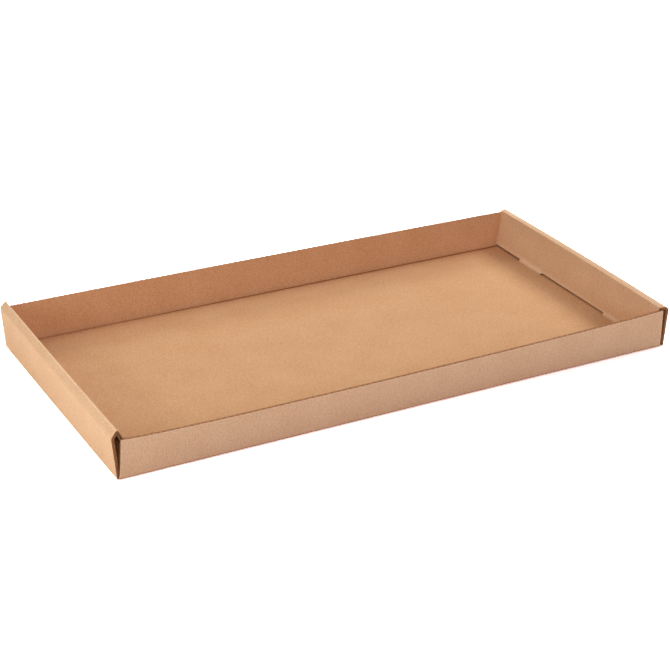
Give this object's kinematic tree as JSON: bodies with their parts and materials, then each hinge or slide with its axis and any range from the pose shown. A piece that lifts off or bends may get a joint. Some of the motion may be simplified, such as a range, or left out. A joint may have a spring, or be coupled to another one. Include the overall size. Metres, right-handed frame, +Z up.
{
  "type": "cardboard tray box",
  "caption": "Shallow open cardboard tray folded from one corrugated sheet, with folded-over ends locked into slots in the base.",
  "frame": {"origin": "middle of the base's underside, on the surface that the tray stands on", "axes": "+X along the tray's length, towards the end pressed flat; +Y across it, from the side that bows more; +Z up"},
  "size_m": [0.6098, 0.3028, 0.0486],
  "materials": {
    "kraft_board": "matt kraft paper on both faces, open flutes at the cut edges"
  },
  "bodies": {
    "root": {"tray": "kraft_board"}
  },
  "joints": []
}
